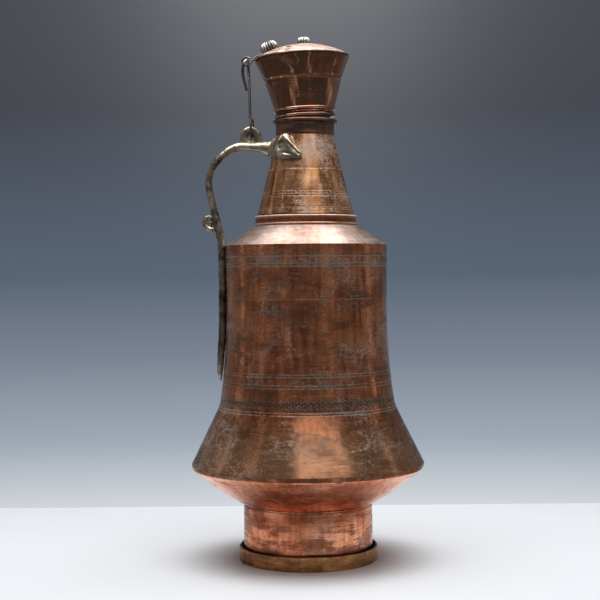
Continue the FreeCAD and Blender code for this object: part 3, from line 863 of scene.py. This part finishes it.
def worn_metal(name, dark, mid, light, patina, patina_at, roughness, scratches=0.5, bump=0.12,
               tarnish=(0.10, 0.05, 0.03), tarnish_at=(0.60, 0.8), level=0.18, spread=(1, 1, 1.5),
               bands=(), rings=(), darkening=(), zones=()):
    """Old sheet metal: mottled colour, level scratches, patina patches and dark tarnish.

    level is how far the mottling lies in level streaks, and spread stretches the patina's patches.
    By height in millimetres, each with its half width: bands and rings gather patina, the darkening heights
    get a dark line, and zones take another colour. On the lid that dark line is painted shade in the ring's
    recessed middle bead, and its zones are painted highlights along the beads and the ridge; on the bell a
    zone is a painted golden highlight tone over the flare."""
    r = Recipe(name)
    cloud = r.noise((1, 1, 1.3), 16, 7, 0.62, 0.4)
    streak = r.noise((1, 1, 7), 38, 5, 0.62)
    fine = r.noise((0.6, 0.6, 34), 160, 3, 0.55)
    stroke = r.noise((6, 6, 0.8), 30, 4, 0.6)
    tone = r.math("ADD", r.math("MULTIPLY", cloud, 0.42), r.math("MULTIPLY", streak, level))
    tone = r.math("ADD", tone, r.math("MULTIPLY", stroke, 0.58 - level))
    colour = r.ramp(tone, [(0.40, dark), (0.5, mid), (0.60, light)])
    height = r.height()
    # Zones of another colour by height; the lid's bead and ridge zones and the bell's flare zone are painted
    # highlights.
    for centre, half, shade, weight in zones:
        inside = r.math("MULTIPLY", r.near(height, centre * MM, half * MM), weight, clamp=True)
        colour = r.blend(inside, colour, rgba(shade))
    stain = r.window(r.math("ADD", r.math("MULTIPLY", r.noise((1, 1, 2.2), 24, 6, 0.68), 0.7),
                            r.math("MULTIPLY", streak, 0.3)), *tarnish_at)
    colour = r.blend(r.math("MULTIPLY", stain, 0.75), colour, rgba(tarnish))
    patch = r.math("ADD", r.math("MULTIPLY", r.noise(spread, 15, 3, 0.6), 0.33),
                   r.math("MULTIPLY", r.noise((1, 1, 1.3), 330, 4, 0.8), 0.57))
    patch = r.math("ADD", patch, r.math("MULTIPLY", streak, 0.1))
    for centre, half, weight in bands:
        lift = r.math("MULTIPLY", r.near(height, centre * MM, half * MM), weight)
        patch = r.math("ADD", patch, lift)
    for centre, half, count, weight in rings:
        lift = r.math("MULTIPLY", r.scribed(height, centre * MM, half * MM, count), weight)
        patch = r.math("ADD", patch, lift)
    mask = r.window(patch, *patina_at)
    mask = r.math("MULTIPLY", mask, r.window(fine, 0.2, 0.5))
    colour = r.blend(r.math("MULTIPLY", mask, 0.72), colour, rgba(patina))
    # A dark line at each darkening height, broken by the cloud; on the lid this is painted shade in the
    # ring's recessed middle bead.
    for centre, half in darkening:
        line = r.math("MULTIPLY", r.near(height, centre * MM, half * MM), r.window(cloud, 0.3, 0.6))
        colour = r.blend(r.math("MULTIPLY", line, 0.85), colour, rgba((0.035, 0.022, 0.018)))
    scratch = r.window(fine, 0.58, 0.8)
    colour = r.blend(r.math("MULTIPLY", scratch, scratches * 0.5), colour, rgba(light))
    rough = r.math("ADD", roughness, r.math("MULTIPLY", mask, 0.25))
    rough = r.math("ADD", rough, r.math("MULTIPLY", r.math("SUBTRACT", streak, 0.5), 0.35))
    rough = r.math("ADD", rough, r.math("MULTIPLY", stain, 0.12), clamp=True)
    metallic = r.math("SUBTRACT", 1.0, r.math("MULTIPLY", mask, 0.65))
    relief = r.math("ADD", r.math("MULTIPLY", fine, 0.35), r.math("MULTIPLY", cloud, 0.5))
    relief = r.math("ADD", relief, r.math("MULTIPLY", mask, 0.3))
    bumped = r.add("Bump", {"Height": relief, "Strength": bump, "Distance": 0.0012}).outputs[0]
    r.wire(r.shader, {"Base Color": colour, "Roughness": rough, "Metallic": metallic, "Normal": bumped})
    return r.material


def cast_metal(name, dark, mid, light, hollow, roughness=0.36, low_dark=False):
    """Cast and handled metal: bright where hands rub it, dark in its hollows."""
    r = Recipe(name)
    cloud = r.noise((1, 1, 1), 55, 7, 0.65, 0.5)
    pits = r.noise((1, 1, 1), 260, 4, 0.6)
    edge = r.add("NewGeometry").outputs["Pointiness"]
    rub = r.window(edge, 0.47, 0.56)
    colour = r.ramp(cloud, [(0.38, dark), (0.5, mid), (0.62, light)])
    colour = r.blend(r.math("MULTIPLY", rub, 0.6), colour, rgba(light))
    hollow_mask = r.math("SUBTRACT", 1.0, r.window(edge, 0.40, 0.49))
    colour = r.blend(r.math("MULTIPLY", hollow_mask, 0.8), colour, rgba(hollow))
    # Random dirt; with low_dark the handle also gets darker towards its bottom, except at its tip.
    darkening = r.window(r.noise((1, 1, 1), 34, 6, 0.7), 0.5, 0.66)
    if low_dark:
        below = r.math("SUBTRACT", 1.0, r.window(r.height(), 0.30, 0.44))
        darkening = r.math("ADD", darkening, r.math("MULTIPLY", below, 0.75), clamp=True)
        tip = r.math("SUBTRACT", 1.0, r.window(r.height(), 0.225, 0.25))
        darkening = r.math("SUBTRACT", darkening, r.math("MULTIPLY", tip, 0.7), clamp=True)
    colour = r.blend(r.math("MULTIPLY", darkening, 0.9), colour, rgba(hollow))
    rough = r.math("ADD", roughness, r.math("MULTIPLY", r.math("SUBTRACT", pits, 0.5), 0.5), clamp=True)
    relief = r.math("ADD", r.math("MULTIPLY", pits, 0.4), r.math("MULTIPLY", cloud, 0.6))
    bumped = r.add("Bump", {"Height": relief, "Strength": 0.25, "Distance": 0.001}).outputs[0]
    r.wire(r.shader, {"Base Color": colour, "Roughness": rough, "Metallic": 0.95, "Normal": bumped})
    return r.material


def make_materials():
    green = (0.17, 0.275, 0.28)
    lines = tuple((line, 1.0, 0.13) for line in BELL_LINES)
    brown = worn_metal(
        "bell_copper", (0.28, 0.095, 0.052), (0.57, 0.205, 0.10), (0.82, 0.35, 0.20), green,
        patina_at=(0.535, 0.605), roughness=0.2, scratches=0.3, tarnish=(0.17, 0.09, 0.052),
        tarnish_at=(0.48, 0.61), bump=0.05,
        bands=((142, 22, 0.03), (351, 12, 0.045), (215, 12, 0.03)) + lines,
        # The flare zone is a painted highlight tone: a paler golden colour that lightens the flare where the
        # front light reflects; the other zone is the darker band of the punched row.
        zones=((130, 46, (0.70, 0.40, 0.24), 0.7), (189.5, 6, (0.16, 0.09, 0.055), 0.9)),
        rings=((320, 13, 16, 0.05), (297, 5, 48, 0.07), (262, 17, 10, 0.04), (238, 9, 20, 0.04),
               (191.8, 2.4, 96, 0.16), (187.2, 2.4, 96, 0.16), (150, 12, 14, 0.05)))
    pan = worn_metal(
        "pan_copper", (0.62, 0.18, 0.08), (0.90, 0.35, 0.19), (1.0, 0.58, 0.42), (0.16, 0.06, 0.035),
        patina_at=(0.565, 0.62), roughness=0.22, scratches=0.9, bump=0.2,
        tarnish=(0.30, 0.09, 0.04), tarnish_at=(0.50, 0.60), darkening=((66.5, 1.4),))
    bright = worn_metal(
        "foot_copper", (0.50, 0.13, 0.055), (0.80, 0.28, 0.14), (0.97, 0.50, 0.33), (0.16, 0.06, 0.035),
        patina_at=(0.565, 0.62), roughness=0.22, scratches=0.9, bump=0.2,
        tarnish=(0.17, 0.045, 0.02), tarnish_at=(0.46, 0.54), darkening=((66.5, 1.4), (18.4, 4.6)),
        zones=((56, 13, (0.34, 0.09, 0.035), 0.6),))
    shoulder = worn_metal(
        "shoulder_copper", (0.29, 0.19, 0.15), (0.445, 0.315, 0.265), (0.56, 0.43, 0.38), (0.36, 0.30, 0.27),
        patina_at=(0.57, 0.68), roughness=0.40)
    neck_lines = tuple((line, 0.8, 0.10) for line in NECK_LINES)
    neck = worn_metal(
        "neck_copper", (0.46, 0.20, 0.09), (0.74, 0.35, 0.165), (0.92, 0.56, 0.34), (0.44, 0.50, 0.53),
        patina_at=(0.52, 0.67), roughness=0.22, tarnish=(0.24, 0.10, 0.05), level=0.06, spread=(3, 3, 0.7),
        bump=0.04,
        bands=((480, 28, 0.10), (425, 14, 0.03)) + neck_lines)
    collar = worn_metal(
        "collar_copper", (0.45, 0.15, 0.06), (0.62, 0.32, 0.14), (0.85, 0.62, 0.50), (0.78, 0.62, 0.54),
        patina_at=(0.57, 0.66), roughness=0.3, bands=((391.6, 2.2, 0.6), (401.3, 2.2, 0.6)),
        rings=((396.5, 2.6, 64, 0.12),),
        zones=((396.5, 4.6, (0.36, 0.10, 0.045), 1.4),))
    dark = worn_metal(
        "mouth_copper", (0.085, 0.06, 0.05), (0.17, 0.105, 0.085), (0.42, 0.19, 0.12), (0.20, 0.21, 0.20),
        patina_at=(0.53, 0.62), roughness=0.34, bump=0.3, level=0.45)
    # Lid copper with painted light on the ring: a painted shade line in its recessed middle bead, and painted
    # highlights as pale lines along its two outer beads and along the ridge.
    lid = worn_metal(
        "lid_copper", (0.27, 0.20, 0.14), (0.44, 0.20, 0.125), (0.62, 0.27, 0.15), (0.22, 0.21, 0.18),
        patina_at=(0.57, 0.68), roughness=0.13, scratches=0.1, bump=0.03, darkening=((521.0, 3.4),),
        zones=((525.4, 2.4, (0.85, 0.58, 0.42), 0.9), (517.2, 2.4, (0.72, 0.58, 0.50), 0.9),
               (560.3, 1.7, (0.88, 0.52, 0.33), 0.9)))
    crown = worn_metal(
        "crown_copper", (0.60, 0.38, 0.28), (0.74, 0.52, 0.42), (0.86, 0.68, 0.60), (0.45, 0.38, 0.34),
        patina_at=(0.59, 0.70), roughness=0.36, scratches=0.2, bump=0.1)
    bronze = worn_metal(
        "hoop_bronze", (0.17, 0.07, 0.035), (0.42, 0.19, 0.075), (0.66, 0.36, 0.14), (0.07, 0.045, 0.03),
        patina_at=(0.54, 0.62), roughness=0.3, scratches=0.6, bump=0.3, tarnish=(0.08, 0.04, 0.025),
        tarnish_at=(0.5, 0.64), darkening=((17, 1.2),), level=0.5)
    brass = cast_metal("handle_brass", (0.16, 0.125, 0.08), (0.38, 0.315, 0.22), (0.76, 0.69, 0.58),
                       (0.03, 0.031, 0.028), low_dark=True)
    ear = cast_metal("ear_brass", (0.17, 0.15, 0.115), (0.32, 0.27, 0.20), (0.55, 0.46, 0.36),
                     (0.045, 0.038, 0.032))
    white = cast_metal("melon_metal", (0.24, 0.225, 0.21), (0.40, 0.38, 0.35), (0.66, 0.64, 0.61),
                       (0.09, 0.08, 0.075), 0.3)
    iron = cast_metal("iron", (0.16, 0.15, 0.145), (0.28, 0.26, 0.255), (0.62, 0.60, 0.59),
                      (0.04, 0.034, 0.03), 0.3)
    return {"brown": brown, "bright": bright, "pan": pan, "shoulder": shoulder, "neck": neck,
            "collar": collar, "dark": dark, "lid": lid, "crown": crown, "bronze": bronze,
            "brass": brass, "ear": ear, "white": white, "iron": iron}


# ---- stage ----

def glow_plane(name, size, place, aim, power, colour=(1, 1, 1)):
    light = bpy.data.lights.new(name, "AREA")
    light.shape = "RECTANGLE"
    light.size, light.size_y = size
    light.energy = power
    light.color = colour
    item = bpy.data.objects.new(name, light)
    bpy.context.collection.objects.link(item)
    item.location = place
    item.rotation_euler = (Vector(aim) - Vector(place)).to_track_quat("-Z", "Y").to_euler()


def build_floor():
    mesh = bpy.data.meshes.new("floor")
    far, near, wide = 0.36, -0.24, 0.47
    mesh.from_pydata([(-wide, near, 0), (wide, near, 0), (wide, far, 0), (-wide, far, 0)], [], [(0, 1, 2, 3)])
    floor = bpy.data.objects.new("floor", mesh)
    bpy.context.collection.objects.link(floor)
    r = Recipe("floor_paint")
    cloud = r.noise((1, 1, 1), 3, 3, 0.5)
    colour = r.ramp(cloud, [(0.3, (0.76, 0.795, 0.835)), (0.7, (0.79, 0.825, 0.865))])
    r.wire(r.shader, {"Base Color": colour, "Roughness": 0.45})
    mesh.materials.append(r.material)


def backdrop_glow(tree, split):
    """Soft light patch on the backdrop, behind and above the lid."""
    def step(operation, a, b=0.0):
        item = tree.nodes.new("ShaderNodeMath")
        item.operation = operation
        for index, value in enumerate((a, b)):
            if isinstance(value, bpy.types.NodeSocket):
                tree.links.new(value, item.inputs[index])
            else:
                item.inputs[index].default_value = value
        return item.outputs[0]

    side = step("DIVIDE", split.outputs[0], 0.11)
    across = step("DIVIDE", 1.0, step("ADD", 1.0, step("POWER", step("ABSOLUTE", side), 3.0)))
    rise = tree.nodes.new("ShaderNodeMapRange")
    rise.inputs["From Min"].default_value = -0.03
    rise.inputs["From Max"].default_value = 0.20
    tree.links.new(split.outputs[2], rise.inputs["Value"])
    behind = step("GREATER_THAN", split.outputs[1], 0.0)
    up = step("POWER", rise.outputs[0], 1.7)
    return step("MULTIPLY", step("MULTIPLY", across, up), behind)


BACKDROP = [(0.0, (0.03, 0.03, 0.03)), (0.15, (0.05, 0.05, 0.055)), (0.2, (0.72, 0.75, 0.78)),
            (0.3, (0.35, 0.4, 0.46)), (0.4, (0.2, 0.23, 0.29)), (0.5, (0.1, 0.13, 0.18)),
            (0.7, (0.055, 0.06, 0.075)), (1.0, (0.06, 0.06, 0.07))]
ROOM = [(0.0, (0.09, 0.085, 0.082)), (0.25, (0.12, 0.115, 0.11)), (0.42, (0.18, 0.175, 0.17)),
        (0.60, (0.16, 0.152, 0.142)), (1.0, (0.14, 0.137, 0.13))]


def build_world():
    """A blue backdrop that pales towards the floor, in a dim grey room."""
    world = bpy.data.worlds.new("studio")
    bpy.context.scene.world = world
    world.use_nodes = True
    tree = world.node_tree

    def span(source, low, high):
        item = tree.nodes.new("ShaderNodeMapRange")
        item.inputs["From Min"].default_value = low
        item.inputs["From Max"].default_value = high
        tree.links.new(source, item.inputs["Value"])
        return item.outputs[0]

    def gradient(source, stops):
        item = tree.nodes.new("ShaderNodeValToRGB")
        tree.links.new(source, item.inputs["Fac"])
        set_stops(item, stops)
        return item.outputs[0]

    def mix(factor, a, blend_type="MIX"):
        item = tree.nodes.new("ShaderNodeMix")
        item.data_type = "RGBA"
        item.blend_type = blend_type
        tree.links.new(factor, item.inputs[0])
        tree.links.new(a, item.inputs[6])
        return item

    place = tree.nodes.new("ShaderNodeTexCoord")
    split = tree.nodes.new("ShaderNodeSeparateXYZ")
    tree.links.new(place.outputs["Generated"], split.inputs[0])
    height = span(split.outputs[2], -0.30, 0.30)
    away_from_backdrop = span(split.outputs[1], 0.93, 0.75)
    both = mix(away_from_backdrop, gradient(height, BACKDROP))
    tree.links.new(gradient(height, ROOM), both.inputs[7])
    lit = mix(backdrop_glow(tree, split), both.outputs[2], "ADD")
    lit.inputs[7].default_value = (0.125, 0.128, 0.13, 1)
    tree.links.new(lit.outputs[2], tree.nodes["Background"].inputs["Color"])


def build_lights():
    glow_plane("top_box", (1.6, 1.3), (0.0, -0.05, 1.55), (0, 0, 0.2), 36)
    glow_plane("left_box", (0.05, 1.1), (-1.35, 0.25, 0.7), (0, 0, 0.35), 0.16)
    glow_plane("right_box", (0.05, 1.1), (1.35, 0.15, 0.7), (0, 0, 0.35), 0.2, (1.0, 0.95, 0.9))
    glow_plane("left_slit", (0.012, 1.1), (-1.35, -0.65, 0.7), (0, 0, 0.35), 0.16, (1.0, 0.85, 0.75))
    glow_plane("right_slit", (0.016, 1.1), (0.8, -1.15, 0.7), (0, 0, 0.35), 0.09, (1.0, 0.72, 0.6))
    glow_plane("low_left", (0.012, 0.36), (-0.36, -0.62, 0.14), (0, 0, 0.5), 0.03, (1.0, 0.9, 0.8))
    glow_plane("low_right", (0.012, 0.36), (0.32, -0.72, 0.14), (0, 0, 0.5), 0.03, (1.0, 0.9, 0.8))
    glow_plane("front_box", (1.5, 0.8), (0.35, -1.15, 1.6), (0, 0, 0.15), 3.2, (1.0, 0.96, 0.9))


def build_camera():
    """Level with the jug's middle, pitched down a degree and rolled by half a degree."""
    data = bpy.data.cameras.new("camera")
    data.lens = 81.0
    data.sensor_width = 36.0
    camera = bpy.data.objects.new("camera", data)
    bpy.context.collection.objects.link(camera)
    pitch, roll = math.radians(-1.06), math.radians(-0.5)
    camera.location = (-0.0076, -1.587, 0.3335)
    upright = Matrix.Rotation(math.pi / 2 + pitch, 4, "X")
    camera.rotation_euler = (upright @ Matrix.Rotation(roll, 4, "Z")).to_euler()
    bpy.context.scene.camera = camera
    bpy.context.scene.view_settings.view_transform = "Standard"


def main():
    paints = make_materials()
    build_bell(paints["brown"])
    build_pan(paints["pan"])
    build_foot(paints["bright"], paints["bronze"])
    build_shoulder(paints["shoulder"])
    build_collar(paints["collar"])
    build_neck(paints["neck"])
    build_mouth(paints["dark"])
    build_lid(paints["lid"], paints["crown"], paints["dark"])
    build_lid_fittings(paints["white"])
    build_handle(paints["brass"])
    build_lug(paints["ear"])
    build_link(paints["iron"])
    build_strap(paints["iron"])
    build_floor()
    build_world()
    build_lights()
    build_camera()


main()
